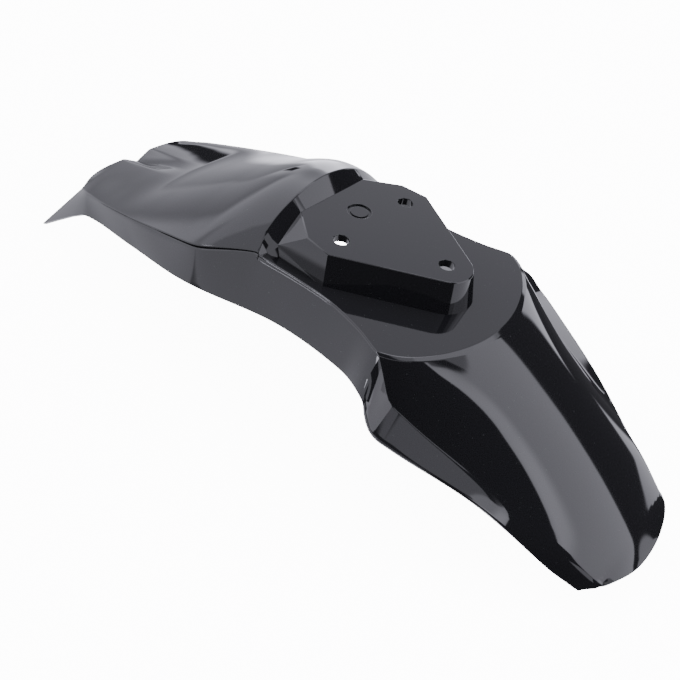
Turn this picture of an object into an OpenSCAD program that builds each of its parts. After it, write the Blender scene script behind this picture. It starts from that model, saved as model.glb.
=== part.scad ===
// Motorcycle front fender: one injection-moulded shell that bolts on under the fork yoke.
// Frame: origin in the middle of the bolt circle, on top of the mounting plate.
// +X runs forward to the tip of the beak, +Y to the left, +Z up along the bolts.

/* [Mounting plate] */
// Diameter of the circle that the three bolt holes stand on
bolt_circle_d = 60; // [54:1:62]
// Diameter of each bolt hole
bolt_hole_d = 8; // [5:0.5:9]
// Thickness of the plate under the bolt heads
plate_t = 4; // [3:0.5:6]
// Height of the plate's top above the flat deck around it
plate_rise = 16.5; // [13:0.5:20]
// Radius of the plate's front corner, round the front bolt
plate_nose_r = 13.3; // [11:0.1:15]
// How far the plate's foot stands out past its top, as moulding draft
plate_draft = 4; // [2:0.5:6]
// Diameter of the round mark sunk in the plate, left blank
mark_d = 12.5; // [8:0.5:14]
// Depth of the round mark
mark_depth = 0.6; // [0.3:0.1:1]

/* [Shell] */
// Wall thickness of the moulding
wall = 2.5; // [2:0.1:3]
// From the bolt circle's centre forward to the tip of the beak
front_reach = 175.5; // [160:0.5:190]
// From the bolt circle's centre back to the middle of the trailing edge
rear_reach = 197; // [190:1:210]
// How far the two wing tips stand back past the trailing edge
wing_tip = 29; // [20:1:36]

/* [Rear deck] */
// From the bolt circle's centre back to the lip at the front of the rear deck
lip_reach = 49.5; // [48.5:0.5:52]
// Height of the lip above the plate, on the centre line
lip_rise = 8.3; // [6:0.1:10]
// Width of the rear deck across its creases, where it is widest
rear_w = 122.6; // [116:0.2:130]
// How far the trailing edge lies below the plate
rear_drop = 54; // [50:0.5:60]
// Depth of the groove between the wings, at the trailing edge
groove_depth = 6; // [2:0.5:8]
// Width of the groove between the wings
groove_w = 20; // [14:1:26]

/* [Waist and beak] */
// Width across the creases at the waist, beside the plate
waist_w = 96; // [94:1:100]
// From the bolt circle's centre forward to the flat deck's front corners
corner_reach = 36; // [33:0.5:40]
// Width across the flat deck's front corners
deck_front_w = 114.6; // [110:0.2:120]
// Radius in plan of the flat deck's round front edge
deck_front_r = 70; // [64:1:80]
// Height of the small step along that edge
deck_step = 2; // [1:0.5:3]
// Width across the hem where the beak starts and the shell is widest
beak_w = 152; // [146:1:158]
// How far the tip of the beak lies below the plate
beak_drop = 84; // [78:1:92]

/* [Hidden] */
gloss_black = "#161618";
deck_z = -plate_rise;
lean = beak_drop - plate_rise;
half_rear = rear_w / 2;
half_waist = waist_w / 2;
half_front = deck_front_w / 2;
half_beak = beak_w / 2;
wall_step = 0.8;

// Smooth curves through a few knots [x, value]

function knot_slope(k, i) =
    let (a = max(i - 1, 0), b = min(i + 1, len(k) - 1))
    (k[b][1] - k[a][1]) / (k[b][0] - k[a][0]);

function span_at(k, x, i = 0) =
    (i >= len(k) - 2 || x < k[i + 1][0]) ? i : span_at(k, x, i + 1);

function along(k, x) =
    let (
        i = span_at(k, x),
        h = k[i + 1][0] - k[i][0],
        t = min(max((x - k[i][0]) / h, 0), 1),
        a = (1 - t) ^ 2 * (1 + 2 * t),
        b = t ^ 2 * (3 - 2 * t)
    )
    a * k[i][1] + b * k[i + 1][1]
    + t * (1 - t) ^ 2 * h * knot_slope(k, i)
    - t ^ 2 * (1 - t) * h * knot_slope(k, i + 1);

function mix(a, b, t) = a + (b - a) * t;
function ease(t) = let (u = min(max(t, 0), 1)) u * u * (3 - 2 * u);

// Places along the fender: aft(0) is the lip and aft(1) the trailing edge,
// fore(0) is the flat deck's front corner and fore(1) the tip of the beak
function aft(f) = mix(-lip_reach, -rear_reach, f);
function fore(f) = mix(corner_reach, front_reach, f);
// Depth below the flat deck, as a share of the beak's fall
function fall(f) = deck_z - f * lean;

// Half width of the top between its creases
crease_y = [
    [aft(0.97), 0.74 * half_rear],
    [aft(0.90), 0.81 * half_rear],
    [aft(0.58), 0.935 * half_rear],
    [aft(0.34), 0.98 * half_rear],
    [aft(0.23), half_rear],
    [aft(0.10), 0.93 * half_rear],
    [aft(-0.02), half_waist + 1],
    [-20, half_waist],
    [0, half_waist],
    [0.6 * corner_reach, mix(half_waist, half_front, 0.45)],
    [corner_reach, half_front],
    [fore(0.10), 0.797 * half_beak],
    [fore(0.20), 0.779 * half_beak],
    [fore(0.50), 0.671 * half_beak],
    [fore(0.78), 0.572 * half_beak],
    [fore(0.93), 0.474 * half_beak]
];

// Height of the creases
crease_z = [
    [aft(0.97), 1.085 * -rear_drop],
    [aft(0.23), 0.48 * -rear_drop],
    [aft(0), deck_z + 1],
    [aft(-0.1), deck_z],
    [0.9 * corner_reach, deck_z],
    [corner_reach, deck_z],
    [fore(0.05), fall(0.136)],
    [fore(0.10), fall(0.285)],
    [fore(0.18), fall(0.348)],
    [fore(0.50), fall(0.58)],
    [fore(0.78), fall(0.81)],
    [fore(0.93), fall(0.97)]
];

// Half width and height of the hem, the shell's lower edge
hem_y = [
    [aft(1) - wing_tip, 0.93 * half_rear],
    [aft(0.84), 0.914 * half_rear],
    [aft(0.53), 1.01 * half_rear],
    [aft(0.19), 1.09 * half_rear],
    [-23, half_waist + 10],
    [0.6 * corner_reach, half_waist + 14],
    [fore(0.04), 0.94 * half_beak],
    [fore(0.13), half_beak],
    [fore(0.20), 0.976 * half_beak],
    [fore(0.50), 0.784 * half_beak],
    [fore(0.78), 0.64 * half_beak],
    [fore(0.885), 0.566 * half_beak]
];
hem_z = [
    [aft(1) - wing_tip, 1.86 * -rear_drop],
    [aft(0.90), 1.25 * -rear_drop],
    [aft(0.84), 1.18 * -rear_drop],
    [aft(0.53), 1.01 * -rear_drop],
    [aft(0.19), 0.843 * -rear_drop],
    [-23, deck_z - 24],
    [0.6 * corner_reach, deck_z - 19],
    [fore(0.05), fall(0.225)],
    [fore(0.13), fall(0.357)],
    [fore(0.20), fall(0.41)],
    [fore(0.50), fall(0.605)],
    [fore(0.78), fall(0.91)],
    [fore(0.885), fall(1.01)]
];

// How far the hem stands forward of the crease beside it
hem_lead = [
    [aft(0.965), -(wing_tip + 3)],
    [aft(0.90), 9],
    [aft(0.23), 6],
    [0, 2],
    [corner_reach, 5],
    [fore(0.5), 1],
    [fore(0.93), -6.5]
];

// Height of the centre line, over the rear deck and down the beak
spine_z = [
    [aft(1), -rear_drop],
    [aft(0.88), 0.92 * -rear_drop],
    [aft(0.78), 0.85 * -rear_drop],
    [aft(0.66), 0.75 * -rear_drop],
    [aft(0.55), 0.59 * -rear_drop],
    [aft(0.32), 0.23 * -rear_drop],
    [aft(0.13), lip_rise - 5],
    [aft(0), lip_rise]
];
nose_z = [
    [corner_reach, deck_z + 1],
    [fore(0.21), deck_z - deck_step],
    [fore(0.35), fall(0.15)],
    [fore(0.5), fall(0.31)],
    [fore(0.64), fall(0.475)],
    [fore(0.78), fall(0.67)],
    [fore(1), fall(1)]
];

// How flat the beak's crown stays before it turns down to the crease
crown_power = [
    [corner_reach, 5],
    [fore(0.2), 3.4],
    [fore(0.5), 2.4],
    [fore(1), 2]
];

// Share of the drop from centre line to crease, v being 0 on the centre line and 1 at the crease
function arch(v) = 0.55 * v ^ 1.5 + 0.45 * (1 - sqrt(1 - v * v));
function deck_drop(f, v) =
    let (near_lip = 1 - ease(f / 0.25), near_tail = ease((f - 0.5) / 0.45))
    near_lip * arch(v)
    + (1 - near_lip) * mix(ease(v), v ^ 4, near_tail);

function groove(f, y) =
    groove_depth * ease((f - 0.66) / 0.5) * 1.15 * max(0, 1 - 2 * abs(y) / groove_w);

// Plan outlines that cross the fender, at share v of the half width
function tail_x(v) = aft(1) + 6 * v ^ 4;
function lip_x(v) = aft(0) + 3.5 * v ^ 6;
function foot_x(v) = aft(0) + 3.2 + 1.1 * v ^ 6;
function deck_edge_x(v) =
    corner_reach + sqrt(deck_front_r ^ 2 - (v * half_front) ^ 2)
    - sqrt(deck_front_r ^ 2 - half_front ^ 2);
function tip_x(v) = fore(1) - 0.068 * (fore(1) - fore(0)) * abs(v) ^ 2.2;

// One point of the outer skin. c is 0 on the centre line, 1 at a crease and 2 at a hem.
function deck_point(s, v) =
    let (x = mix(tail_x(v), lip_x(v), s), y = v * along(crease_y, x), f = 1 - s)
    let (top = along(spine_z, x), side = along(crease_z, x))
    [x, y, mix(top, side, deck_drop(f, abs(v))) - groove(f, y)];

function flat_point(s, v) =
    let (x = mix(foot_x(v), deck_edge_x(v), s))
    [x, v * along(crease_y, x), deck_z];

function beak_point(s, v) =
    let (x = mix(deck_edge_x(v) + wall_step, tip_x(v), s))
    let (top = along(nose_z, x), side = along(crease_z, x))
    [x, v * along(crease_y, x), mix(top, side, abs(v) ^ along(crown_power, x))];

function top_point(row, v) =
    row[0] == "deck" ? deck_point(row[1], v)
    : row[0] == "flat" ? flat_point(row[1], v)
    : beak_point(row[1], v);

function hem_point(crease, side) =
    let (x = crease[0] + along(hem_lead, crease[0]))
    [x, side * along(hem_y, x), along(hem_z, x)];

function skin_point(row, c) =
    let (v = min(max(c, -1), 1), p = top_point(row, v))
    abs(c) <= 1 ? p : mix(p, hem_point(p, sign(c)), abs(c) - 1);

// Rows across the fender from the trailing edge to the tip, and columns along it
rows = concat(
    [for (s = [0, 0.065, 0.12, 0.18, 0.24, 0.3, 0.36, 0.43, 0.5, 0.58, 0.66, 0.73, 0.79, 0.85,
        0.9, 0.95, 1]) ["deck", s]],
    [for (s = [0, 0.08, 0.2, 0.35, 0.5, 0.65, 0.8, 0.92, 1]) ["flat", s]],
    [for (s = [0, 0.02, 0.04, 0.06, 0.08, 0.1, 0.13, 0.17, 0.22, 0.28, 0.35, 0.43, 0.52,
        0.61, 0.7, 0.79, 0.87, 0.94, 1]) ["beak", s]]
);
half_cols = [0.1, 0.2, 0.31, 0.42, 0.53, 0.64, 0.75, 0.85, 0.93, 0.98, 1, 1.5, 2];
cols = concat([for (i = [len(half_cols) - 1 : -1 : 0]) -half_cols[i]], [0], half_cols);

outer = [for (r = rows) [for (c = cols) skin_point(r, c)]];

// The inner skin stands one wall thickness behind the outer one, along its normal
function unit(v) = v / norm(v);
function normal_at(g, i, j) =
    unit(cross(
        g[min(i + 1, len(g) - 1)][j] - g[max(i - 1, 0)][j],
        g[i][min(j + 1, len(g[0]) - 1)] - g[i][max(j - 1, 0)]
    ));
inner = [for (i = [0 : len(rows) - 1]) [for (j = [0 : len(cols) - 1])
    outer[i][j] - wall * normal_at(outer, i, j)]];

function flatten(g) = [for (r = g) for (p = r) p];

module skin() {
    n = len(rows);
    m = len(cols);
    up = [for (i = [0 : n - 2]) for (j = [0 : m - 2]) let (a = i * m + j) each
        [[a, a + m + 1, a + m], [a, a + 1, a + m + 1]]];
    k = n * m;
    down = [for (t = up) [t[0] + k, t[2] + k, t[1] + k]];
    rim = concat(
        [for (j = [0 : m - 1]) j],
        [for (i = [1 : n - 1]) i * m + m - 1],
        [for (j = [m - 2 : -1 : 0]) (n - 1) * m + j],
        [for (i = [n - 2 : -1 : 1]) i * m]
    );
    edge = [for (i = [0 : len(rim) - 1]) let (a = rim[i], b = rim[(i + 1) % len(rim)]) each
        [[a, b + k, b], [a, a + k, b + k]]];
    polyhedron(points = concat(flatten(outer), flatten(inner)), faces = concat(up, down, edge));
}

// Outline of the plate's top; its foot is the same outline drawn out by the draft
bolt_r = bolt_circle_d / 2;
rear_edge_x = -(lip_reach - 6.3);
function plate_outline(out, back) =
    let (
        nose = plate_nose_r + out,
        turn = [for (a = [-59 : 59 / 4 : 59]) [bolt_r + nose * cos(a), nose * sin(a)]],
        side = [
            [-0.37 * bolt_r + 0.5 * out, 1.333 * bolt_r + out],
            [-0.87 * bolt_r - 1.1 * back, 1.267 * bolt_r + 0.5 * back],
            [rear_edge_x - 1 - 0.4 * back, 0.817 * bolt_r + back]
        ]
    )
    concat(turn, side, [for (i = [len(side) - 1 : -1 : 0]) [side[i][0], -side[i][1]]]);

module pad(inset, top, foot) {
    hull() {
        translate([0, 0, top - 0.1])
            linear_extrude(0.1) offset(delta = -inset) polygon(plate_outline(0, 0));
        translate([0, 0, foot])
            linear_extrude(0.1) offset(delta = -inset) polygon(plate_outline(plate_draft, 9));
    }
}

// Two sloped facets that lead from the lip down to the plate's rear edge. They start inside
// the lip's wall and end just under the plate's top, so that they cut both cleanly.
module ramp() {
    half = 0.79 * bolt_r;
    side = mix(lip_rise, deck_z + 1, arch(half / (half_waist + 1)));
    rows = [
        [aft(0) - 1.2, lip_rise - 1, side - 1],
        [aft(0) + 0.25, lip_rise - 0.4, side - 0.4],
        [rear_edge_x + 1, -0.6, -0.6]
    ];
    top = [for (r = rows) each [[r[0], -half, r[2]], [r[0], 0, r[1]], [r[0], half, r[2]]]];
    base = [for (p = top) [p[0], p[1], deck_z - 1]];
    polyhedron(
        points = concat(top, base),
        faces = [
            [0, 1, 4], [0, 4, 3], [1, 2, 5], [1, 5, 4],
            [3, 4, 7], [3, 7, 6], [4, 5, 8], [4, 8, 7],
            [9, 12, 15, 16, 17, 14, 11, 10], [0, 9, 10, 1], [1, 10, 11, 2],
            [6, 7, 16, 15], [7, 8, 17, 16],
            [0, 3, 12], [0, 12, 9], [3, 6, 15], [3, 15, 12],
            [2, 11, 14], [2, 14, 5], [5, 14, 17], [5, 17, 8]
        ]
    );
}

module moulding() {
    difference() {
        union() {
            skin();
            pad(0, 0, deck_z - 1);
            ramp();
        }
        pad(wall, -plate_t, deck_z - wall - 2);
    }
}

// The moulding is one closed skin; the holes are cut in it afterwards, as true bores
module fender() {
    color(gloss_black) difference() {
        resize([0, 0, 0]) moulding();
        for (a = [0, 120, 240]) rotate(a) translate([bolt_r, 0, -plate_t - 1])
            cylinder(d = bolt_hole_d, h = plate_t + 2, $fn = 64);
        translate([-0.83 * bolt_r, 0, -mark_depth])
            cylinder(d = mark_d, h = 2, $fn = 64);
    }
}

fender();
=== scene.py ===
"""Motorcycle front fender in gloss black plastic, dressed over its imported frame.

The shell is one moulding, so it is one piece here too. Its skin is lofted from the
same named sizes as the solid, more finely and with its edges rounded. The raised
plate is then joined to it, and its hollow, the bolt holes and the mark are cut out.
Lengths in the classes are in millimetres; the meshes are made in metres.
"""

from __future__ import annotations

import logging
import math
from dataclasses import dataclass, field
from enum import Enum
from typing import Sequence

import bmesh
import bpy
import numpy as np
from mathutils import Matrix, Vector

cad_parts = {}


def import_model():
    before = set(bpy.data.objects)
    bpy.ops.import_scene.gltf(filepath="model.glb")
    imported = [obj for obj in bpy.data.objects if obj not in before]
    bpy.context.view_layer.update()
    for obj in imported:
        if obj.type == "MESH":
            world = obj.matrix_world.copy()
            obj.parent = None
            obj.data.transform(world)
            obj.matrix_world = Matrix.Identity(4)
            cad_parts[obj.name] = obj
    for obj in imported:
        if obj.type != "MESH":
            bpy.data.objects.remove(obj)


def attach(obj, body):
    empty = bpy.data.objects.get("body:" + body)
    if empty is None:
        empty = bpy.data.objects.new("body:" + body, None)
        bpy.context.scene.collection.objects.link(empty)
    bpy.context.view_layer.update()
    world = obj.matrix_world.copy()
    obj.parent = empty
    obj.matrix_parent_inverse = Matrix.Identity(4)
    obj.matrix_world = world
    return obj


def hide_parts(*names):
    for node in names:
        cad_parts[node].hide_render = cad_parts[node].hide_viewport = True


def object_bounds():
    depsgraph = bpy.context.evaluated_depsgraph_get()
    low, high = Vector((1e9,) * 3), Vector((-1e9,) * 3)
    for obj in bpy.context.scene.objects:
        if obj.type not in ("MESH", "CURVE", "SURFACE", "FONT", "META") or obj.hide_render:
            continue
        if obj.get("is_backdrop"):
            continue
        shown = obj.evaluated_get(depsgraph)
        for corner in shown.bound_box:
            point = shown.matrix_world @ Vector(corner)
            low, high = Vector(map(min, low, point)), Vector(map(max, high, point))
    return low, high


LOG = logging.getLogger("fender")
MM = 0.001
Knots = Sequence[tuple[float, float]]
Values = np.ndarray | float


# ---------------------------------------------------------------- curves


def along(knots: Knots, x: Values) -> np.ndarray:
    """Smooth curve through knots, held level past both ends.

    Args:
        knots: pairs of place and value, in rising order of place.
        x: the places asked for.

    Returns:
        The values there, in the shape of x.
    """
    k = np.asarray(knots, float)
    px, py = k[:, 0], k[:, 1]
    slope = np.empty(len(px))
    slope[1:-1] = (py[2:] - py[:-2]) / (px[2:] - px[:-2])
    slope[0] = (py[1] - py[0]) / (px[1] - px[0])
    slope[-1] = (py[-1] - py[-2]) / (px[-1] - px[-2])
    x = np.asarray(x, float)
    i = np.clip(np.searchsorted(px, x, side="right") - 1, 0, len(px) - 2)
    h = px[i + 1] - px[i]
    t = np.clip((x - px[i]) / h, 0.0, 1.0)
    a, b = (1 - t) ** 2 * (1 + 2 * t), t**2 * (3 - 2 * t)
    return (
        a * py[i]
        + b * py[i + 1]
        + t * (1 - t) ** 2 * h * slope[i]
        - t**2 * (1 - t) * h * slope[i + 1]
    )


def fair(knots: Knots, x: np.ndarray, degree: int) -> np.ndarray:
    """Polynomial that runs close to the knots, for surfaces whose reflections must be even.

    Args:
        knots: pairs of place and value.
        x: the places asked for.
        degree: degree of the polynomial.

    Returns:
        The values there, in the shape of x.
    """
    k = np.asarray(knots, float)
    mid, half = (k[0, 0] + k[-1, 0]) / 2, (k[-1, 0] - k[0, 0]) / 2
    return np.polyval(np.polyfit((k[:, 0] - mid) / half, k[:, 1], degree), (x - mid) / half)


def mix(a: Values, b: Values, t: Values) -> Values:
    """Straight blend from a to b."""
    return a + (b - a) * t


def ease(t: Values) -> np.ndarray:
    """Soft step from 0 to 1 while t goes from 0 to 1."""
    u = np.clip(t, 0.0, 1.0)
    return u * u * (3 - 2 * u)


def unit(v: np.ndarray) -> np.ndarray:
    """The vectors of v, each made one long."""
    return v / np.maximum(np.linalg.norm(v, axis=-1, keepdims=True), 1e-12)


# ---------------------------------------------------------------- sizes


@dataclass(frozen=True)
class ShellSizes:
    """The solid's named sizes in millimetres, under the same names.

    The mark is deeper than in the solid, so that it still reads with an island left in it.
    """

    bolt_circle_d: float = 60.0
    bolt_hole_d: float = 8.0
    plate_t: float = 4.0
    plate_rise: float = 16.5
    plate_nose_r: float = 13.3
    plate_draft: float = 4.0
    mark_d: float = 12.5
    mark_depth: float = 0.9
    wall: float = 2.5
    front_reach: float = 175.5
    rear_reach: float = 197.0
    wing_tip: float = 29.0
    lip_reach: float = 49.5
    lip_rise: float = 8.3
    rear_w: float = 122.6
    rear_drop: float = 54.0
    groove_depth: float = 6.0
    groove_w: float = 20.0
    waist_w: float = 96.0
    corner_reach: float = 36.0
    deck_front_w: float = 114.6
    deck_front_r: float = 70.0
    deck_step: float = 2.0
    beak_w: float = 152.0
    beak_drop: float = 84.0

    @property
    def bolt_r(self) -> float:
        """Radius of the bolt circle."""
        return self.bolt_circle_d / 2

    @property
    def rear_edge_x(self) -> float:
        """Rear edge of the plate's top, at the foot of the lip's slope."""
        return -(self.lip_reach - 6.3)

    @property
    def deck_z(self) -> float:
        """Height of the flat deck."""
        return -self.plate_rise

    def aft(self, f: float) -> float:
        """Place along the rear deck, 0 at the lip and 1 at the trailing edge."""
        return mix(-self.lip_reach, -self.rear_reach, f)

    def fore(self, f: float) -> float:
        """Place along the beak, 0 at the deck's front corner and 1 at the tip."""
        return mix(self.corner_reach, self.front_reach, f)

    def fall(self, f: float) -> float:
        """Height below the flat deck, as a share of the beak's fall."""
        return self.deck_z - f * (self.beak_drop - self.plate_rise)


# ---------------------------------------------------------------- mesh help


@dataclass
class Sheet:
    """A grid of points that becomes faces, rows by columns."""

    points: np.ndarray

    def quads(self, base: int, flip: bool = False) -> list[tuple[int, ...]]:
        """Faces of the grid.

        Args:
            base: index of the grid's first point in the mesh.
            flip: turns the faces round.

        Returns:
            Index tuples, four to a face.
        """
        n, m = self.points.shape[:2]
        out = []
        for i in range(n - 1):
            for j in range(m - 1):
                a = base + i * m + j
                q = (a, a + m, a + m + 1, a + 1)
                out.append(q[::-1] if flip else q)
        return out


def mesh_object(name: str, points: np.ndarray, faces: list[tuple[int, ...]]) -> bpy.types.Object:
    """Makes a mesh object from points in millimetres.

    Args:
        name: name of the object and its mesh.
        points: rows of x, y and z.
        faces: index tuples.

    Returns:
        The new object, linked to the scene.
    """
    mesh = bpy.data.meshes.new(name)
    mesh.from_pydata([tuple(p) for p in np.asarray(points, float) * MM], [], faces)
    mesh.update()
    obj = bpy.data.objects.new(name, mesh)
    bpy.context.scene.collection.objects.link(obj)
    return obj


class Side(Enum):
    """Material slots of the moulding."""

    OUTER = 0
    UNDER = 1


def painted(obj: bpy.types.Object, side: Side) -> bpy.types.Object:
    """Gives every face of an object one of the two material slots.

    Args:
        obj: the object.
        side: the slot that its faces get.

    Returns:
        The same object.
    """
    for one in Side:
        name = f"slot_{one.name.lower()}"
        obj.data.materials.append(bpy.data.materials.get(name) or bpy.data.materials.new(name))
    obj.data.polygons.foreach_set("material_index", [side.value] * len(obj.data.polygons))
    return obj


def tidy_mesh(obj: bpy.types.Object, gap: float, outward: bool = True) -> None:
    """Merges doubles and drops faces without area.

    Args:
        obj: the object to tidy.
        gap: merge distance in metres.
        outward: recalculates the normals as well.
    """
    bm = bmesh.new()
    bm.from_mesh(obj.data)
    bmesh.ops.remove_doubles(bm, verts=bm.verts, dist=gap)
    bmesh.ops.dissolve_degenerate(bm, edges=bm.edges, dist=gap)
    if outward:
        bmesh.ops.recalc_face_normals(bm, faces=bm.faces)
    bm.to_mesh(obj.data)
    bm.free()
    obj.data.update()


def settle(obj: bpy.types.Object, mod: bpy.types.Modifier) -> None:
    """Makes a modifier's result the object's own mesh and removes the modifier.

    Args:
        obj: the object.
        mod: its modifier.
    """
    graph = bpy.context.evaluated_depsgraph_get()
    mesh = bpy.data.meshes.new_from_object(obj.evaluated_get(graph))
    obj.modifiers.remove(mod)
    old, obj.data = obj.data, mesh
    bpy.data.meshes.remove(old)


def drop(obj: bpy.types.Object) -> None:
    """Removes an object and its mesh.

    Args:
        obj: the object.
    """
    mesh = obj.data
    bpy.data.objects.remove(obj, do_unlink=True)
    if mesh.users == 0:
        bpy.data.meshes.remove(mesh)


class Join(Enum):
    """How one solid meets another."""

    ADD = "UNION"
    CUT = "DIFFERENCE"


def join_solid(obj: bpy.types.Object, other: bpy.types.Object, how: Join) -> None:
    """Joins or cuts one solid with another and removes the other.

    Args:
        obj: the solid that stays.
        other: the solid that is added or taken away.
        how: whether the other is added or cut out.
    """
    mod = obj.modifiers.new("join", "BOOLEAN")
    mod.operation = how.value
    mod.solver = "EXACT"
    mod.object = other
    settle(obj, mod)
    drop(other)


def even_shading(obj: bpy.types.Object) -> None:
    """Weights the normals by face area, so that flats stay flat beside rounded edges.

    Args:
        obj: the object to shade.
    """
    mod = obj.modifiers.new("even", "WEIGHTED_NORMAL")
    mod.keep_sharp = True
    mod.weight = 60
    settle(obj, mod)


# ---------------------------------------------------------------- the shell


class Zone(Enum):
    """The three parts of the top that rows cross."""

    DECK = "rear deck"
    FLAT = "flat deck"
    BEAK = "beak"


@dataclass
class Row:
    """One line of points across the top.

    Attributes:
        zone: the part of the top that it lies on.
        s: how far forward in that part, 0 to 1.
        corner: radius that rounds the edge along this row, 0 for none.
    """

    zone: Zone
    s: float
    corner: float = 0.0


# Shares of the half width where the lip's slope folds
FOOT = (0.502, 0.861, 0.914)
# Seam line under the crease: share of its depth, and how far down in millimetres
SEAM = ((0.8, 0.15), (1.0, 0.4), (1.0, 0.9), (0.75, 1.3), (0.3, 1.65), (0, 2.3))


@dataclass
class ShellSkin:
    """The outer and inner skin of the moulding, from the trailing edge to the beak's tip.

    Attributes:
        size: the named sizes.
        step_run: run of the step's slope, in plan.
        lift_run: how far ahead the beak still rises towards the step.
        deck_rows: rows on the rear deck.
        flat_rows: rows on the flat deck.
        beak_rows: rows on the beak.
        bend_steps: points round the crease.
        skirt_steps: points down a skirt.
        still: points in from each hem that rows leave sharp.
    """

    size: ShellSizes = field(default_factory=ShellSizes)
    step_run: float = 2.8
    lift_run: float = 40.0
    deck_rows: int = 64
    flat_rows: int = 28
    beak_rows: int = 56
    bend_steps: int = 7
    skirt_steps: int = 10
    still: int = 18

    def __post_init__(self) -> None:
        """Sets the curves that the skin follows."""
        z = self.size
        aft, fore, fall = z.aft, z.fore, z.fall
        rear, waist = z.rear_w / 2, z.waist_w / 2
        front, beak, drop_z = z.deck_front_w / 2, z.beak_w / 2, -z.rear_drop
        self.crease_y: Knots = [
            (aft(0.97), 0.74 * rear), (aft(0.90), 0.81 * rear), (aft(0.58), 0.935 * rear),
            (aft(0.34), 0.982 * rear), (aft(0.215), 1.002 * rear), (aft(0.165), 0.987 * rear),
            (aft(0.075), 0.895 * rear), (aft(0.01), 0.825 * rear), (aft(-0.02), waist + 1),
            (aft(-0.02) + 1, waist + 1.55), (-24, waist + 0.3), (0, waist),
            (0.6 * z.corner_reach, mix(waist, front, 0.45)), (z.corner_reach, front),
            (fore(0.10), 0.797 * beak), (fore(0.20), 0.779 * beak), (fore(0.50), 0.671 * beak),
            (fore(0.78), 0.572 * beak), (fore(0.93), 0.474 * beak),
        ]
        self.crease_z: Knots = [
            (aft(0.97), 1.085 * drop_z), (aft(0.23), 0.48 * drop_z), (aft(0), z.deck_z + 1),
            (aft(-0.1), z.deck_z), (0.9 * z.corner_reach, z.deck_z), (z.corner_reach, z.deck_z),
            (fore(0.05), fall(0.136)), (fore(0.10), fall(0.285)), (fore(0.18), fall(0.348)),
            (fore(0.50), fall(0.58)), (fore(0.78), fall(0.81)), (fore(0.93), fall(0.97)),
        ]
        self.hem_y: Knots = [
            (aft(1) - z.wing_tip, 0.93 * rear), (aft(0.84), 0.914 * rear),
            (aft(0.53), 1.01 * rear), (aft(0.19), 1.09 * rear), (-23, waist + 10),
            (0.6 * z.corner_reach, waist + 14), (fore(0.04), 0.94 * beak), (fore(0.13), beak),
            (fore(0.20), 0.976 * beak), (fore(0.50), 0.784 * beak), (fore(0.78), 0.64 * beak),
            (fore(0.885), 0.566 * beak),
        ]
        self.hem_z: Knots = [
            (aft(1) - z.wing_tip, 1.86 * drop_z), (aft(0.90), 1.25 * drop_z),
            (aft(0.84), 1.18 * drop_z), (aft(0.53), 1.01 * drop_z), (aft(0.19), 0.843 * drop_z),
            (-23, z.deck_z - 24), (0.6 * z.corner_reach, z.deck_z - 19), (fore(0.05), fall(0.225)),
            (fore(0.13), fall(0.357)), (fore(0.20), fall(0.41)), (fore(0.50), fall(0.605)),
            (fore(0.78), fall(0.91)), (fore(0.885), fall(1.01)),
        ]
        self.hem_lead: Knots = [
            (aft(0.965), -(z.wing_tip + 3)), (aft(0.90), 9), (aft(0.23), 6), (0, 2),
            (z.corner_reach, 1), (z.corner_reach + 14, 3), (fore(0.3), 3), (fore(0.5), 1),
            (fore(0.93), -6.5),
        ]
        self.spine_z: Knots = [
            (aft(1), drop_z), (aft(0.88), 0.92 * drop_z), (aft(0.78), 0.85 * drop_z),
            (aft(0.66), 0.75 * drop_z), (aft(0.55), 0.59 * drop_z), (aft(0.32), 0.23 * drop_z),
            (aft(0.13), z.lip_rise - 5), (aft(0), z.lip_rise),
        ]
        self.nose_z: Knots = [
            (z.corner_reach, z.deck_z + 1), (fore(0.21), z.deck_z - z.deck_step),
            (fore(0.35), fall(0.15)), (fore(0.5), fall(0.31)), (fore(0.64), fall(0.475)),
            (fore(0.78), fall(0.67)), (fore(1), fall(1)),
        ]
        self.crown_power: Knots = [
            (z.corner_reach, 5), (fore(0.2), 3.4), (fore(0.5), 2.4), (fore(1), 2),
        ]

    @staticmethod
    def deck_drop(f: np.ndarray, v: np.ndarray) -> np.ndarray:
        """Share of the fall from centre line to crease on the rear deck.

        Args:
            f: place along the deck, 0 at the lip.
            v: share of the half width, 0 on the centre line.

        Returns:
            0 on the centre line and 1 at the crease.
        """
        near_lip = 1 - ease(f / 0.25)
        near_tail = ease((f - 0.5) / 0.45)
        arch = 0.62 * v**1.8 + 0.38 * v**3.2
        return near_lip * arch + (1 - near_lip) * mix(v**1.9, v**4, near_tail)

    def groove(self, f: np.ndarray, y: np.ndarray) -> np.ndarray:
        """Depth of the groove between the wings.

        Args:
            f: place along the rear deck, 0 at the lip.
            y: distance from the centre line.

        Returns:
            The depth, 0 outside the groove.
        """
        z = self.size
        side = np.maximum(0, 1 - 2 * np.abs(y) / z.groove_w)
        return z.groove_depth * ease((f - 0.66) / 0.5) * 1.15 * side

    def deck_edge_x(self, v: np.ndarray) -> np.ndarray:
        """Plan of the flat deck's round front edge.

        Args:
            v: share of the half width.

        Returns:
            Place along the fender.
        """
        z = self.size
        half = z.deck_front_w / 2
        back = math.sqrt(z.deck_front_r**2 - half**2)
        return z.corner_reach + np.sqrt(z.deck_front_r**2 - (v * half) ** 2) - back

    def lip_foot(self, a: np.ndarray) -> tuple[np.ndarray, np.ndarray]:
        """Foot of the lip's slope, which ends at the bolt plate.

        Args:
            a: shares of the half width, 0 to 1.

        Returns:
            Place along the fender and height.
        """
        z, rear = self.size, self.size.rear_edge_x
        share = [0, *FOOT, 1]
        x = np.interp(a, share, [rear + 0.8, rear + 0.8, rear + 4.3, rear - 0.6, rear - 2])
        h = np.interp(a, share, [-0.4, -0.4, 0.63 * z.deck_z, z.deck_z, z.deck_z])
        return x, h

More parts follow.
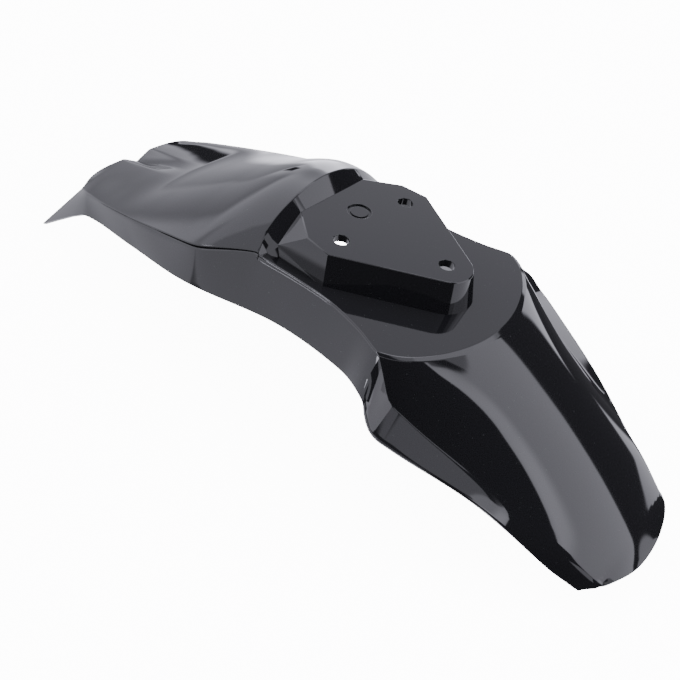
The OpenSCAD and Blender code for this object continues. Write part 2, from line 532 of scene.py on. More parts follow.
    def top(self, row: Row, v: np.ndarray, bare: bool = False) -> np.ndarray:
        """Points of one row across the top.

        Args:
            row: the row.
            v: shares of the half width, -1 to 1.
            bare: leaves out the lip's slope, as on the inner side.

        Returns:
            Rows of x, y and z.
        """
        z, a = self.size, np.abs(v)
        if row.zone is Zone.DECK:
            x = mix(z.aft(1) + 6 * a**4, z.aft(0) + 3.5 * a**6, row.s)
            y = v * along(self.crease_y, x)
            f = np.full_like(v, 1 - row.s)
            h = mix(along(self.spine_z, x), along(self.crease_z, x), self.deck_drop(f, a))
            return np.stack([x, y, h - self.groove(f, y)], -1)
        if row.zone is Zone.FLAT:
            back, foot = z.aft(0) + 3.2 + 1.1 * a**6, np.full_like(a, z.deck_z)
            if not bare:
                back, foot = self.lip_foot(a)
            x = mix(back, self.deck_edge_x(v), row.s)
            h = mix(foot, z.deck_z, min(row.s * 30, 1.0))
            return np.stack([x, v * along(self.crease_y, x), h], -1)
        tip = z.fore(1) - 0.068 * (z.fore(1) - z.fore(0)) * a**2.2
        start = self.deck_edge_x(v) + self.step_run

        def crown(at: np.ndarray) -> np.ndarray:
            """Height of the beak away from the step."""
            bow = a ** fair(self.crown_power, at, 3)
            return mix(fair(self.nose_z, at, 4), along(self.crease_z, at), bow)

        x = mix(start, tip, row.s)
        lift = z.deck_z - 0.45 * z.deck_step - crown(start)
        h = crown(x) + lift * np.clip(1 - (x - start) / self.lift_run, 0, 1) ** 2
        return np.stack([x, v * along(self.crease_y, x), h], -1)

    def hem(self, crease: np.ndarray, side: float) -> np.ndarray:
        """The point of the hem beside a crease point."""
        x = crease[0] + along(self.hem_lead, crease[0])
        return np.array([x, side * along(self.hem_y, x), along(self.hem_z, x)])

    def rows(self) -> list[Row]:
        """The rows from the trailing edge to the tip.

        Returns:
            Evenly spaced rows, with a rounded one at each end of the lip's slope and the step.
        """
        deck, flat, beak = (
            [Row(zone, float(s)) for s in np.linspace(0, 1, count + 1)]
            for zone, count in ((Zone.DECK, self.deck_rows), (Zone.FLAT, self.flat_rows),
                                (Zone.BEAK, self.beak_rows))
        )
        deck[-1].corner, flat[0].corner = 0.7, 0.3
        flat[-1].corner = beak[0].corner = 0.5
        return deck + flat + beak

    def crease_radius(self, x: float) -> float:
        """Radius that rounds the crease, crisp at the waist and soft at the tip.

        Args:
            x: place along the fender.

        Returns:
            The radius there.
        """
        z = self.size
        return float(along([(z.aft(1), 2.2), (z.aft(0.85), 1.2), (z.aft(0.7), 0.5), (0, 0.5),
                            (z.fore(0.3), 0.8), (z.fore(0.5), 2.5), (z.fore(1), 6.5)], x))

    def seam_depth(self, x: float) -> float:
        """Depth of the seam line under the crease.

        Args:
            x: place along the fender.

        Returns:
            The depth there, 0 where there is no seam.
        """
        z = self.size
        return float(along([(z.aft(0.80), 0), (z.aft(0.73), 0.4), (z.aft(0.5), 0.8),
                            (z.aft(0.18), 1.5), (z.aft(0), 1.2), (-20, 0.7), (12, 0.5),
                            (z.corner_reach - 4, 0.4), (z.corner_reach + 6, 0)], x))

    def across(self, row: Row, bare: bool = False) -> tuple[np.ndarray, np.ndarray]:
        """Sharp and rounded points of one row from hem to hem.

        Args:
            row: the row.
            bare: leaves out the lip's slope.

        Returns:
            The sharp points, doubled where the other has rounding, and the rounded ones.
        """
        v = np.concatenate([
            np.linspace(0, FOOT[0], 14), np.linspace(FOOT[0], FOOT[1], 11)[1:],
            np.linspace(FOOT[1], FOOT[2], 3)[1:], np.linspace(FOOT[2], 1, 5)[1:],
        ])
        v = np.concatenate([-v[:0:-1], v])
        top = self.top(row, v, bare)
        sharp, soft = list(top[1:-1]), list(top[1:-1])
        for side in (1, -1):
            plain, bent, lost = self.flank(top[::side], side)
            for i in range(lost):
                soft[-1 - i if side > 0 else i] = bent[0]
            if side > 0:
                sharp, soft = sharp + plain, soft + bent
            else:
                sharp, soft = plain[::-1] + sharp, bent[::-1] + soft
        return np.array(sharp), np.array(soft)

    def flank(
        self, top: np.ndarray, side: int
    ) -> tuple[list[np.ndarray], list[np.ndarray], int]:
        """Points of one row from a crease down to the hem.

        Args:
            top: the row's points across the top, which end at this crease.
            side: 1 for the side of rising y, -1 for the other.

        Returns:
            The sharp points, the rounded ones, and how many points of the top the rounding takes.
        """
        corner, inner = top[-1], top[-2]
        hem = self.hem(corner, side)
        r = min(self.crease_radius(corner[0]), 0.45 * np.linalg.norm(hem - corner),
                0.98 * np.linalg.norm(inner - corner) * 3)
        # the top is taken back along the row until it is r away from the crease
        keep = len(top) - 1
        while keep > 2 and np.linalg.norm(top[keep - 1] - corner) < r:
            keep -= 1
        a = corner + unit(top[keep - 1] - corner) * r
        b = corner + unit(hem - corner) * r
        bend = [(1 - u) ** 2 * a + 2 * u * (1 - u) * corner + u * u * b
                for u in np.linspace(0, 1, self.bend_steps)]
        deep, down = self.seam_depth(corner[0]), unit(hem - corner)
        into = np.array([0, -side, 0])
        bend += [corner + down * (r + low * min(1.0, deep)) + into * dip * deep
                 for dip, low in SEAM]
        steps = np.linspace(0, 1, self.skirt_steps + 1)[1:]
        bent = bend + [mix(bend[-1], hem, t) for t in steps]
        plain = [corner] * len(bend) + [mix(corner, hem, t) for t in steps]
        return plain, bent, len(top) - 1 - keep

    def grids(self) -> tuple[np.ndarray, np.ndarray]:
        """Lays out both skins.

        Returns:
            The outer skin with round edges, and the inner skin one wall behind it.
        """
        rows = self.rows()
        sharp = np.array([self.across(r, bare=True)[0] for r in rows])
        soft = np.array([self.across(r)[1] for r in rows])
        inner = sharp - self.size.wall * self.mitre(sharp)
        # rows are rounded across the top, not down the skirts
        top = np.ones((sharp.shape[1], 1))
        top[:self.still] = top[-self.still:] = 0
        out_rows, in_rows = [], []
        for i, row in enumerate(rows):
            if not row.corner:
                out_rows.append(soft[i])
                in_rows.append(inner[i])
                continue
            c = soft[i]
            back, ahead = soft[i - 1] - c, soft[i + 1] - c
            ra = np.minimum(row.corner, 0.45 * np.linalg.norm(back, axis=1))[:, None]
            rb = np.minimum(row.corner, 0.45 * np.linalg.norm(ahead, axis=1))[:, None]
            a, b = c + unit(back) * ra * top, c + unit(ahead) * rb * top
            for u in np.linspace(0, 1, 6):
                out_rows.append((1 - u) ** 2 * a + 2 * u * (1 - u) * c + u * u * b)
                in_rows.append(inner[i])
        return np.array(out_rows), np.array(in_rows)

    @staticmethod
    def mitre(g: np.ndarray) -> np.ndarray:
        """Offset direction at each point of a grid, longer at creases so that walls stay even.

        Args:
            g: grid of points.

        Returns:
            Vectors whose length is the offset for a wall of one.
        """
        a = g[1:, :-1] - g[:-1, :-1]
        b = g[:-1, 1:] - g[:-1, :-1]
        c = g[1:, 1:] - g[:-1, 1:]
        d = g[1:, 1:] - g[1:, :-1]
        face = np.cross(a, b) + np.cross(c, d)
        area = np.linalg.norm(face, axis=-1, keepdims=True)
        n, m = g.shape[:2]
        total = np.zeros_like(g)
        normal = unit(face) * (area > 1e-6)
        for di in (0, 1):
            for dj in (0, 1):
                total[di:n - 1 + di, dj:m - 1 + dj] += normal
        # columns that stand in one place share one normal
        for j in range(1, m):
            same = np.linalg.norm(g[:, j] - g[:, j - 1], axis=1) < 1e-6
            total[same, j] += total[same, j - 1]
        for j in range(m - 2, -1, -1):
            same = np.linalg.norm(g[:, j] - g[:, j + 1], axis=1) < 1e-6
            total[same, j] = total[same, j + 1]
        mean = unit(total)
        stretch = np.ones(g.shape[:2])
        for di in (0, 1):
            for dj in (0, 1):
                part = (normal * mean[di:n - 1 + di, dj:m - 1 + dj]).sum(-1)
                part = np.where(area[..., 0] > 1e-6, part, 1.0)
                view = stretch[di:n - 1 + di, dj:m - 1 + dj]
                np.minimum(view, part, out=view)
        return mean / np.clip(stretch, 0.75, 1.0)[..., None]

    def build(self) -> bpy.types.Object:
        """Makes the closed shell without plate or holes.

        Returns:
            The shell, with its inner faces in the slot of the underside.
        """
        outer, inner = self.grids()
        n, m = outer.shape[:2]
        pts = np.concatenate([outer.reshape(-1, 3), inner.reshape(-1, 3)])
        faces = Sheet(outer).quads(0) + Sheet(inner).quads(n * m, flip=True)
        rim = (
            [(0, j) for j in range(m)]
            + [(i, m - 1) for i in range(1, n)]
            + [(n - 1, j) for j in range(m - 2, -1, -1)]
            + [(i, 0) for i in range(n - 2, 0, -1)]
        )
        rim_points, rim_faces = self.round_rim(rim, outer, inner, len(pts))
        pts = np.concatenate([pts, rim_points])
        obj = painted(mesh_object("fender_shell", pts, faces + rim_faces), Side.OUTER)
        count = (n - 1) * (m - 1)
        for p in obj.data.polygons[count:2 * count]:
            p.material_index = Side.UNDER.value
        tidy_mesh(obj, 2e-6)
        LOG.info("shell skin: %d rows, %d columns", n, m)
        return obj

    @staticmethod
    def round_rim(
        rim: list[tuple[int, int]], outer: np.ndarray, inner: np.ndarray, base: int
    ) -> tuple[np.ndarray, list[tuple[int, ...]]]:
        """The rounded edge that joins outer and inner skin.

        Args:
            rim: row and column of each rim point, in order round the shell.
            outer: outer grid.
            inner: inner grid.
            base: index that the first new point gets.

        Returns:
            The new points and the faces.
        """
        n, m = outer.shape[:2]
        o = np.array([outer[i, j] for i, j in rim])
        k = np.array([inner[i, j] for i, j in rim])
        out = []
        for i, j in rim:
            ii = 1 if i == 0 else n - 2 if i == n - 1 else i
            jj = 1 if j == 0 else m - 2 if j == m - 1 else j
            out.append(outer[i, j] - outer[ii, jj])
        t = np.array(out)
        across = unit(k - o)
        t -= (t * across).sum(-1, keepdims=True) * across
        t = unit(t)
        for _ in range(3):
            t = unit(t + 0.5 * np.roll(t, 1, axis=0) + 0.5 * np.roll(t, -1, axis=0))
        half = np.linalg.norm(k - o, axis=1, keepdims=True) / 2
        angles = np.radians([25, 55, 90, 125, 155])
        rings = []
        for w in angles:
            c, s = math.cos(w), math.sin(w)
            rings.append((o + k) / 2 - across * half * math.copysign(abs(c) ** 0.7, c)
                         + t * half * 0.55 * s**0.7)
        count = len(rim)
        index = [[i * m + j for i, j in rim]]
        index += [[base + r * count + q for q in range(count)] for r in range(len(angles))]
        index += [[n * m + i * m + j for i, j in rim]]
        faces = []
        for lo, hi in zip(index[:-1], index[1:]):
            for q in range(count):
                p = (q + 1) % count
                faces.append((lo[q], lo[p], hi[p], hi[q]))
        return np.concatenate(rings), faces


# ---------------------------------------------------------------- bolt plate


@dataclass
class BoltPlate:
    """The raised plate, a drafted pad, and the hollow under it.

    Attributes:
        size: the named sizes.
        edge_r: radius of the top's edge.
        spread: how far the rear corners spread from top to foot.
    """

    size: ShellSizes = field(default_factory=ShellSizes)
    edge_r: float = 0.7
    spread: float = 3.0

    def outline(self, out: float, back: float, nose_cut: float = 0.0) -> np.ndarray:
        """Plan of the pad, drawn out by the draft.

        Args:
            out: how far the sides stand out.
            back: how far the rear corners spread.
            nose_cut: how much narrower the nose is.

        Returns:
            Rows of x and y, anticlockwise.
        """
        r, nose = self.size.bolt_r, self.size.plate_nose_r + out - nose_cut
        turn = [(r + nose * math.cos(a), nose * math.sin(a))
                for a in np.radians(np.linspace(-59, 59, 33))]
        side = [
            (-0.37 * r + 0.5 * out, 1.333 * r + 0.7 * out),
            (-0.87 * r - 3.67 * back, 1.267 * r + 1.67 * back),
            (self.size.rear_edge_x + 0.2 + 0.4 * back, 0.817 * r + back),
        ]
        return np.array(turn + side + [(x, -y) for x, y in reversed(side)])

    def pad(
        self, name: str, inset: float, top: float, foot: float, edge: float, nose_cut: float = 0.0
    ) -> bpy.types.Object:
        """A hull between the top outline and the foot outline.

        Args:
            name: object name.
            inset: how far the outlines are drawn in.
            top: height of the top.
            foot: height of the foot.
            edge: radius of the top's edge.
            nose_cut: how much narrower the nose is.

        Returns:
            The pad's solid.
        """
        bm, size = bmesh.new(), self.size
        for z, down in ((top, 0.0), (foot, (top - foot) / (size.plate_rise + 1))):
            plan = self.outline(size.plate_draft * down, self.spread * down, nose_cut)
            for x, y in self.shrunk(plan, inset):
                bm.verts.new((x * MM, y * MM, z * MM))
        if edge:
            # the rear corners stand out halfway down
            for side in (-1, 1):
                bm.verts.new((-1.313 * size.bolt_r * MM, side * 1.433 * size.bolt_r * MM,
                              0.606 * size.deck_z * MM))
        made = bmesh.ops.convex_hull(bm, input=bm.verts)
        spare = [v for v in set(made["geom_interior"] + made["geom_unused"])
                 if isinstance(v, bmesh.types.BMVert)]
        bmesh.ops.delete(bm, geom=spare, context="VERTS")
        bmesh.ops.dissolve_limit(bm, angle_limit=math.radians(0.5), verts=bm.verts, edges=bm.edges)
        if edge:
            ring = [e for e in bm.edges if all(abs(v.co.z - top * MM) < 1e-6 for v in e.verts)]
            bmesh.ops.bevel(bm, geom=ring, offset=edge * MM, segments=4, profile=0.5,
                            affect="EDGES", clamp_overlap=True)
        bmesh.ops.recalc_face_normals(bm, faces=bm.faces)
        mesh = bpy.data.meshes.new(name)
        bm.to_mesh(mesh)
        bm.free()
        obj = bpy.data.objects.new(name, mesh)
        bpy.context.scene.collection.objects.link(obj)
        return obj

    @staticmethod
    def shrunk(plan: np.ndarray, inset: float) -> np.ndarray:
        """A convex outline drawn in by the same distance on each side.

        Args:
            plan: rows of x and y, anticlockwise.
            inset: the distance.

        Returns:
            The smaller outline.
        """
        if not inset:
            return plan
        before = unit(plan - np.roll(plan, 1, axis=0))
        after = unit(np.roll(plan, -1, axis=0) - plan)
        n0 = np.stack([-before[:, 1], before[:, 0]], -1)
        n1 = np.stack([-after[:, 1], after[:, 0]], -1)
        mean = unit(n0 + n1)
        return plan + mean * inset / np.maximum((mean * n0).sum(-1), 0.5)[:, None]


@dataclass
class BoltHoles:
    """Cutters for the bolt holes, set round the bolt circle by Geometry Nodes, and for the mark.

    Attributes:
        size: the named sizes.
        count: number of bolt holes.
        chamfer: how far a hole's mouth is eased.
        turns: points round a hole.
        island: the mark's blank disc, as distances in from its edge and heights.
    """

    size: ShellSizes = field(default_factory=ShellSizes)
    count: int = 3
    chamfer: float = 0.35
    turns: int = 96
    island: Knots = ((1.9, -0.25), (1.65, -0.34))

    def profile(
        self, radius: float, low: float, mouth: float, inside: Knots = ()
    ) -> bpy.types.Object:
        """One turned cutter that stands on the plate's top.

        Args:
            radius: radius of the hole.
            low: height of its lower end.
            mouth: height where the eased mouth starts.
            inside: radius and height of points that leave an island in the middle.

        Returns:
            The cutter's solid at the origin.
        """
        line = list(inside) + [(radius, low), (radius, mouth)]
        line += [(radius + self.chamfer * (1 - math.cos(a)), mouth - mouth * math.sin(a))
                 for a in np.radians([30, 60, 90])]
        line += [(radius + self.chamfer, 2.0)]
        turns = self.turns
        pts = [(r * math.cos(t), r * math.sin(t), z) for r, z in line
               for t in np.linspace(0, 2 * math.pi, turns, endpoint=False)]
        n = len(line)
        faces = [(i * turns + j, i * turns + (j + 1) % turns,
                  (i + 1) * turns + (j + 1) % turns, (i + 1) * turns + j)
                 for i in range(n - 1) for j in range(turns)]
        faces += [tuple(range(turns))[::-1], tuple(range((n - 1) * turns, n * turns))]
        obj = mesh_object("hole_cutter", np.array(pts), faces)
        tidy_mesh(obj, 1e-7)
        return obj

    def set_round(self) -> bpy.types.Object:
        """Copies the cutter round the bolt circle with a Geometry Nodes tree.

        Returns:
            One plain mesh object with all three cutters.
        """
        cutter = self.profile(self.size.bolt_hole_d / 2, -self.size.plate_t - 3, -self.chamfer)
        tree = bpy.data.node_groups.new("bolt_circle", "GeometryNodeTree")
        sock = tree.interface.new_socket
        sock("Cutter", in_out="INPUT", socket_type="NodeSocketObject")
        sock("Radius", in_out="INPUT", socket_type="NodeSocketFloat")
        sock("Count", in_out="INPUT", socket_type="NodeSocketInt")
        sock("Material", in_out="INPUT", socket_type="NodeSocketMaterial")
        sock("Geometry", in_out="OUTPUT", socket_type="NodeSocketGeometry")
        add, link = tree.nodes.new, tree.links.new
        given = add("NodeGroupInput")
        ring = add("GeometryNodeMeshCircle")
        info = add("GeometryNodeObjectInfo")
        place = add("GeometryNodeInstanceOnPoints")
        real = add("GeometryNodeRealizeInstances")
        paint = add("GeometryNodeSetMaterial")
        out = add("NodeGroupOutput")
        link(given.outputs["Radius"], ring.inputs["Radius"])
        link(given.outputs["Count"], ring.inputs["Vertices"])
        link(given.outputs["Cutter"], info.inputs["Object"])
        link(ring.outputs["Mesh"], place.inputs["Points"])
        link(info.outputs["Geometry"], place.inputs["Instance"])
        link(place.outputs["Instances"], real.inputs["Geometry"])
        link(real.outputs["Geometry"], paint.inputs["Geometry"])
        link(given.outputs["Material"], paint.inputs["Material"])
        link(paint.outputs["Geometry"], out.inputs["Geometry"])
        holder = mesh_object("bolt_circle", np.zeros((1, 3)), [])
        mod = holder.modifiers.new("set round", "NODES")
        mod.node_group = tree
        key = {s.name: s.identifier for s in tree.interface.items_tree if s.in_out == "INPUT"}
        mod[key["Cutter"]] = cutter
        mod[key["Radius"]] = self.size.bolt_r * MM
        mod[key["Count"]] = self.count
        settle(holder, mod)
        drop(cutter)
        return holder

    def mark(self) -> bpy.types.Object:
        """Cutter for the round mark.

        Returns:
            The cutter, which sinks a ring into the plate round a blank disc.
        """
        z = self.size
        r = z.mark_d / 2
        island = [(r - inset, height) for inset, height in self.island]
        cutter = self.profile(r, -z.mark_depth, -0.25, island + [(r - 1.5, -z.mark_depth)])
        cutter.data.transform(Matrix.Translation((-0.83 * z.bolt_r * MM, 0, 0)))
        return cutter


# ---------------------------------------------------------------- finishes


def moulded_group() -> bpy.types.ShaderNodeTree:
    """Node group for moulded plastic: faint flow in the gloss, fine ripple and specks of dust.

    Returns:
        The group, with named inputs and outputs.
    """
    tree = bpy.data.node_groups.new("moulded_surface", "ShaderNodeTree")
    sock = tree.interface.new_socket
    for name, value in (("Roughness", 0.06), ("Roughness Spread", 0.03), ("Ripple Scale", 60.0),
                        ("Dust", 0.0)):
        sock(name, in_out="INPUT", socket_type="NodeSocketFloat").default_value = value
    sock("Roughness", in_out="OUTPUT", socket_type="NodeSocketFloat")
    sock("Height", in_out="OUTPUT", socket_type="NodeSocketFloat")
    sock("Dust", in_out="OUTPUT", socket_type="NodeSocketFloat")
    add, link = tree.nodes.new, tree.links.new
    given, out = add("NodeGroupInput"), add("NodeGroupOutput")
    where = add("ShaderNodeTexCoord")
    flow, ripple, speck = (add("ShaderNodeTexNoise") for _ in range(3))
    for node, scale, detail in ((flow, 14.0, 3.0), (ripple, 60.0, 2.0), (speck, 900.0, 2.0)):
        node.inputs["Scale"].default_value = scale
        node.inputs["Detail"].default_value = detail
        link(where.outputs["Object"], node.inputs["Vector"])
    link(given.outputs["Ripple Scale"], ripple.inputs["Scale"])
    spread = add("ShaderNodeMath")
    spread.operation = "MULTIPLY_ADD"
    link(flow.outputs["Fac"], spread.inputs[0])
    link(given.outputs["Roughness Spread"], spread.inputs[1])
    link(given.outputs["Roughness"], spread.inputs[2])
    link(spread.outputs[0], out.inputs["Roughness"])
    link(ripple.outputs["Fac"], out.inputs["Height"])
    pick = add("ShaderNodeMapRange")
    pick.inputs["From Min"].default_value = 0.70
    pick.inputs["From Max"].default_value = 0.78
    link(speck.outputs["Fac"], pick.inputs["Value"])
    amount = add("ShaderNodeMath")
    amount.operation = "MULTIPLY"
    link(pick.outputs["Result"], amount.inputs[0])
    link(given.outputs["Dust"], amount.inputs[1])
    link(amount.outputs[0], out.inputs["Dust"])
    return tree


@dataclass(frozen=True)
class MouldedFinish:
    """A finish of the moulding.

    Attributes:
        name: material name.
        colour: base colour, linear.
        roughness: lowest roughness.
        spread: how much the roughness varies.
        ripple: height of the ripple, in metres.
        ripple_scale: how many ripples to a metre.
        dust: how much dust shows.
        dust_colour: colour of the dust, linear.
    """

    name: str
    colour: tuple[float, float, float]
    roughness: float
    spread: float
    ripple: float
    ripple_scale: float
    dust: float
    dust_colour: tuple[float, float, float] = (0.10, 0.10, 0.105)

    def make(self, group: bpy.types.ShaderNodeTree) -> bpy.types.Material:
        """Builds the material.

        Args:
            group: the shared moulded_surface group.

        Returns:
            The new material.
        """
        mat = bpy.data.materials.new(self.name)
        mat.use_nodes = True
        tree = mat.node_tree
        bsdf = tree.nodes["Principled BSDF"]
        surface = tree.nodes.new("ShaderNodeGroup")
        surface.node_tree = group
        surface.inputs["Roughness"].default_value = self.roughness
        surface.inputs["Roughness Spread"].default_value = self.spread
        surface.inputs["Ripple Scale"].default_value = self.ripple_scale
        surface.inputs["Dust"].default_value = self.dust
        tint = tree.nodes.new("ShaderNodeMix")
        tint.data_type = "RGBA"
        tint.inputs["A"].default_value = (*self.colour, 1)
        tint.inputs["B"].default_value = (*self.dust_colour, 1)
        bump = tree.nodes.new("ShaderNodeBump")
        bump.inputs["Distance"].default_value = self.ripple
        bump.inputs["Strength"].default_value = 1.0
        link = tree.links.new
        link(surface.outputs["Dust"], tint.inputs["Factor"])
        link(tint.outputs["Result"], bsdf.inputs["Base Color"])
        link(surface.outputs["Roughness"], bsdf.inputs["Roughness"])
        link(surface.outputs["Height"], bump.inputs["Height"])
        link(bump.outputs["Normal"], bsdf.inputs["Normal"])
        bsdf.inputs["IOR"].default_value = 1.5
        return mat


GLOSS = MouldedFinish(
    name="gloss_black_abs", colour=(0.0075, 0.0075, 0.0085), roughness=0.035, spread=0.03,
    ripple=0.00002, ripple_scale=40.0, dust=0.25,
)
UNDERSIDE = MouldedFinish(
    name="underside_black_abs", colour=(0.012, 0.012, 0.013), roughness=0.32, spread=0.12,
    ripple=0.00006, ripple_scale=220.0, dust=0.5,
)


# ---------------------------------------------------------------- the whole fender


@dataclass
class Fender:
    """The moulding as one piece: skin, plate, hollow and holes.

    Attributes:
        size: the named sizes.
        hollow_nose: how much narrower the hollow's nose is than the plate's.
        hard_edge: angle in degrees above which an edge shows sharp.
    """

    size: ShellSizes = field(default_factory=ShellSizes)
    hollow_nose: float = 5.5
    hard_edge: float = 26.0

    def build(self) -> bpy.types.Object:
        """Makes the solid.

        Returns:
            The piece, not yet dressed.
        """
        z = self.size
        shell = ShellSkin(z).build()
        plate = BoltPlate(z)
        holes = BoltHoles(z)
        pad = plate.pad("pad", 0, 0, z.deck_z - 1, plate.edge_r)
        join_solid(shell, painted(pad, Side.OUTER), Join.ADD)
        below = z.deck_z - z.wall - 2
        hollow = plate.pad("hollow", z.wall + 0.5, -z.plate_t, below, 0, self.hollow_nose)
        join_solid(shell, painted(hollow, Side.UNDER), Join.CUT)
        join_solid(shell, painted(holes.set_round(), Side.OUTER), Join.CUT)
        join_solid(shell, painted(holes.mark(), Side.OUTER), Join.CUT)
        tidy_mesh(shell, 5e-6, outward=False)
        LOG.info("fender: %d faces", len(shell.data.polygons))
        return shell

    def dress(self, piece: bpy.types.Object) -> None:
        """Gives the outside its gloss and the underside its satin.

        Args:
            piece: the piece that build made.
        """
        group = moulded_group()
        piece.data.materials[Side.OUTER.value] = GLOSS.make(group)
        piece.data.materials[Side.UNDER.value] = UNDERSIDE.make(group)
        for p in piece.data.polygons:
            p.use_smooth = True
        piece.data.set_sharp_from_angle(angle=math.radians(self.hard_edge))
        even_shading(piece)


# ---------------------------------------------------------------- stage


@dataclass(frozen=True)
class SkyPatch:
    """A part of the studio's surroundings with one brightness.

    Attributes:
        level: radiance inside the patch.
        edges: limits as a, b and c, with a * azimuth + b * elevation above c, in degrees.
            Azimuth is 0 along +X and 90 along +Y.
        soft: width of the patch's edge in degrees.
    """

    level: float
    edges: tuple[tuple[float, float, float], ...]
    soft: float = 2.0


PATCHES = (
    # small lamp high on the camera's left
    SkyPatch(14.0, ((1, 0, -129), (-1, 0, 118), (0, 1, 25), (0, -1, -35)), 2.0),
    # walls behind the tail, brighter higher up
    SkyPatch(2.7, ((1, 0, 143), (0, 1, 19)), 8.0),
    SkyPatch(2.7, ((-1, 0, 170), (0, 1, 19)), 8.0),
    SkyPatch(2.7, ((-1, 0, 140), (0, 1, 34)), 8.0),
    SkyPatch(1.1, ((1, 0, 145), (-1, 0, -173), (0, -1, -17), (0, 1, -16)), 8.0),
    SkyPatch(0.75, ((1, 0, 135), (-1, 0, -150), (0, -1, 2), (0, 1, -34)), 4.0),
    SkyPatch(4.5, ((1, 0, 124), (-1, 0, -133), (0, 1, -14), (0, -1, -11)), 4.0),
    SkyPatch(0.04, ((1, 0, 138.5), (-1, 0, -142.5), (0, 1, -1), (0, -1, -8)), 1.5),
    # pale wall behind the far side
    SkyPatch(1.25, ((1, 0, 86), (-1, 0, -138), (0, 1, 15), (0, -1, -75)), 10.0),
    # large soft panel over the far side, with its bright end ahead and a dark gap overhead
    SkyPatch(5.0, ((1, 0, 56), (-1, 0, -125), (0, 1, 60), (0, -1, -80)), 3.0),
    SkyPatch(3.0, ((1, 0, 43), (-1, 0, -78), (0, 1, 44), (0, -1, -72)), 2.0),
    SkyPatch(1.45, ((1, 0, 27), (-1, 0, -47), (0, 1, 50), (0, -1, -68)), 3.0),
    SkyPatch(0.09, ((1, 0, -6), (-1, 0, -27), (0, 1, 51), (0, -1, -70)), 3.0),
    SkyPatch(3.1, ((1, 0, -3), (-1, 0.97, -28), (0, 1, 8), (0, -1, -52)), 1.0),
    SkyPatch(4.8, ((1, 0, -3), (-1, 0, -14), (0, 1, 36), (0, -1, -50)), 12.0),
    # dark room on the camera's side, overhead and low down
    SkyPatch(0.08, ((1, 0, -121), (-1, 0, 80), (0, 1, 50)), 2.0),
    SkyPatch(0.7, ((1, 0, -122), (-1, 0, 112), (0, -1, 15), (0, 1, -30)), 3.0),
    SkyPatch(0.08, ((1, 0, -82), (-1, 0, 3), (0, 1, 25), (0.3, -1, -62)), 1.5),
    SkyPatch(0.08, ((1, 0, -82), (-1, 0, -42), (0, 1, 68)), 2.0),
    SkyPatch(0.09, ((1, 0, -82), (-1, 0, 18), (0, -1, -26)), 2.0),
    # dark room beyond the panel
    SkyPatch(0.085, ((1, -0.97, 28), (-1, 0, -94), (0, -1, -42), (0.5, 1, 32)), 1.0),
    SkyPatch(0.09, ((1, 0, 79), (-1, 0, -98), (0, -1, 2), (0, 1, -30)), 3.0),
    SkyPatch(3.6, ((1, 0, 76.5), (-1, 0, -92), (0, 1, 2), (0, -1, -22)), 2.0),
)


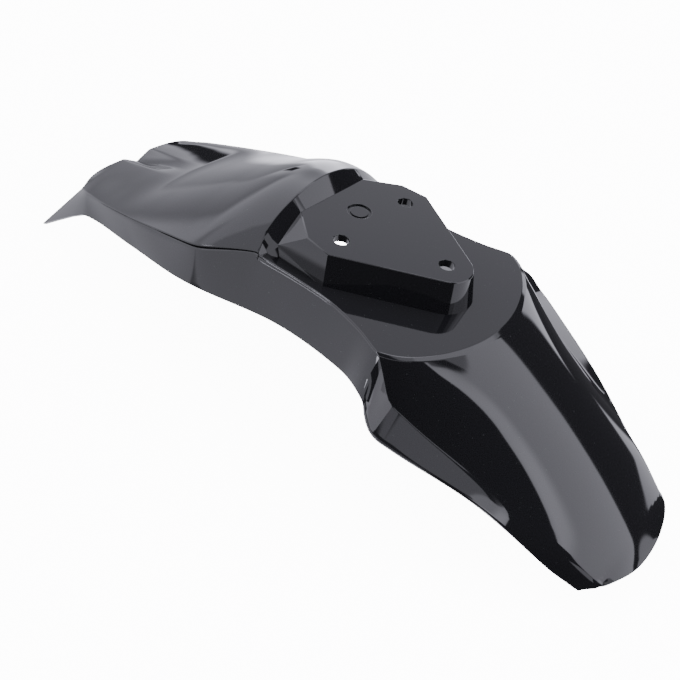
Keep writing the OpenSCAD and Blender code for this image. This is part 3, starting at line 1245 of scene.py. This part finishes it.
@dataclass
class Studio:
    """Camera, floor and light.

    Attributes:
        focal_px: focal length in pixels.
        frame_px: width of the picture in pixels.
        eye: place of the camera, in metres.
        right: direction of the picture's right.
        down: direction of the picture's foot.
        ahead: direction that the camera looks in.
        walls: radiance of the room's walls.
        tint: colour of the room's light.
        white: radiance of the background that the camera sees.
        floor_half: half the floor's width, in metres.
    """

    focal_px: float = 826.43
    frame_px: int = 680
    eye: tuple[float, float, float] = (0.1656636, -0.2946446, 0.2326405)
    right: tuple[float, float, float] = (0.75130912, 0.64154503, 0.15477265)
    down: tuple[float, float, float] = (0.52991111, -0.44665959, -0.72089488)
    ahead: tuple[float, float, float] = (-0.39335584, 0.62363064, -0.67554127)
    walls: float = 1.95
    tint: tuple[float, float, float] = (0.90, 0.895, 1.0)
    white: float = 14.0
    floor_half: float = 6.0

    def camera(self) -> None:
        """Sets the camera at the photograph's place and angle."""
        data = bpy.data.cameras.new("camera")
        data.sensor_width = 36
        data.lens = self.focal_px / self.frame_px * data.sensor_width
        data.clip_start, data.clip_end = 0.01, 50
        obj = bpy.data.objects.new("camera", data)
        r, d, a = Vector(self.right), Vector(self.down), Vector(self.ahead)
        turn = Matrix((r, -d, -a)).transposed().to_4x4()
        obj.matrix_world = Matrix.Translation(self.eye) @ turn
        bpy.context.scene.collection.objects.link(obj)
        bpy.context.scene.camera = obj

    def floor(self, height: float) -> None:
        """Lays a plain pale floor, bright enough to show as white.

        Args:
            height: height of the floor in metres.
        """
        half = self.floor_half
        pts = [(-half, -half, height), (half, -half, height), (half, half, height),
               (-half, half, height)]
        obj = mesh_object("floor", np.array(pts) / MM, [(0, 1, 2, 3)])
        mat = bpy.data.materials.new("pale_floor")
        mat.use_nodes = True
        bsdf = mat.node_tree.nodes["Principled BSDF"]
        bsdf.inputs["Base Color"].default_value = (0.92, 0.92, 0.92, 1)
        bsdf.inputs["Roughness"].default_value = 0.9
        bsdf.inputs["Specular IOR Level"].default_value = 0.0
        bsdf.inputs["Emission Color"].default_value = (1, 1, 1, 1)
        bsdf.inputs["Emission Strength"].default_value = self.white - 2
        obj.data.materials.append(mat)
        obj.visible_glossy = False
        obj.visible_diffuse = False
        obj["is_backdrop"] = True

    def world(self) -> None:
        """Surrounds the scene with the studio: pale walls, one soft panel and dark room."""
        world = bpy.data.worlds.new("studio")
        world.use_nodes = True
        tree = world.node_tree
        tree.nodes.clear()
        add, link = tree.nodes.new, tree.links.new

        def math_node(kind: str, *values: object) -> bpy.types.NodeSocket:
            """Adds a Math node.

            Args:
                kind: its operation.
                values: its inputs, as numbers or as sockets to link.

            Returns:
                Its output.
            """
            node = add("ShaderNodeMath")
            node.operation = kind
            for socket, value in zip(node.inputs, values):
                if isinstance(value, bpy.types.NodeSocket):
                    link(value, socket)
                else:
                    socket.default_value = value
            return node.outputs[0]

        where, split = add("ShaderNodeTexCoord"), add("ShaderNodeSeparateXYZ")
        link(where.outputs["Generated"], split.inputs[0])
        x, y, z = split.outputs
        turn = 180 / math.pi
        azimuth = math_node("MULTIPLY", math_node("ARCTAN2", y, x), turn)
        height = math_node("MULTIPLY", math_node("ARCSINE", z), turn)
        level: bpy.types.NodeSocket | float = self.walls
        for patch in PATCHES:
            mask: bpy.types.NodeSocket | float = 1.0
            for a, b, c in patch.edges:
                side = math_node("ADD", math_node("MULTIPLY", azimuth, a),
                                 math_node("MULTIPLY", height, b))
                ramp = add("ShaderNodeMapRange")
                ramp.interpolation_type = "SMOOTHSTEP"
                link(side, ramp.inputs["Value"])
                ramp.inputs["From Min"].default_value = c - patch.soft / 2
                ramp.inputs["From Max"].default_value = c + patch.soft / 2
                mask = math_node("MULTIPLY", mask, ramp.outputs["Result"])
            blend = add("ShaderNodeMix")
            link(mask, blend.inputs["Factor"])
            if isinstance(level, float):
                blend.inputs["A"].default_value = level
            else:
                link(level, blend.inputs["A"])
            blend.inputs["B"].default_value = patch.level
            level = blend.outputs["Result"]
        room, white = add("ShaderNodeBackground"), add("ShaderNodeBackground")
        link(level, room.inputs["Strength"])
        white.inputs["Color"].default_value = (1, 1, 1, 1)
        room.inputs["Color"].default_value = (*self.tint, 1)
        white.inputs["Strength"].default_value = self.white
        path, pick = add("ShaderNodeLightPath"), add("ShaderNodeMixShader")
        out = add("ShaderNodeOutputWorld")
        link(path.outputs["Is Camera Ray"], pick.inputs[0])
        link(room.outputs[0], pick.inputs[1])
        link(white.outputs[0], pick.inputs[2])
        link(pick.outputs[0], out.inputs["Surface"])
        bpy.context.scene.world = world


def main() -> None:
    """Builds the scene."""
    logging.basicConfig(level=logging.INFO, format="%(name)s: %(message)s")
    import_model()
    solid_box = [list(c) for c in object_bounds()]
    studio = Studio()
    studio.camera()
    studio.floor(solid_box[0][2])
    studio.world()
    fender = Fender()
    piece = fender.build()
    fender.dress(piece)
    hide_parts("fender")
    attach(piece, "root")


if __name__ == "__main__":
    main()
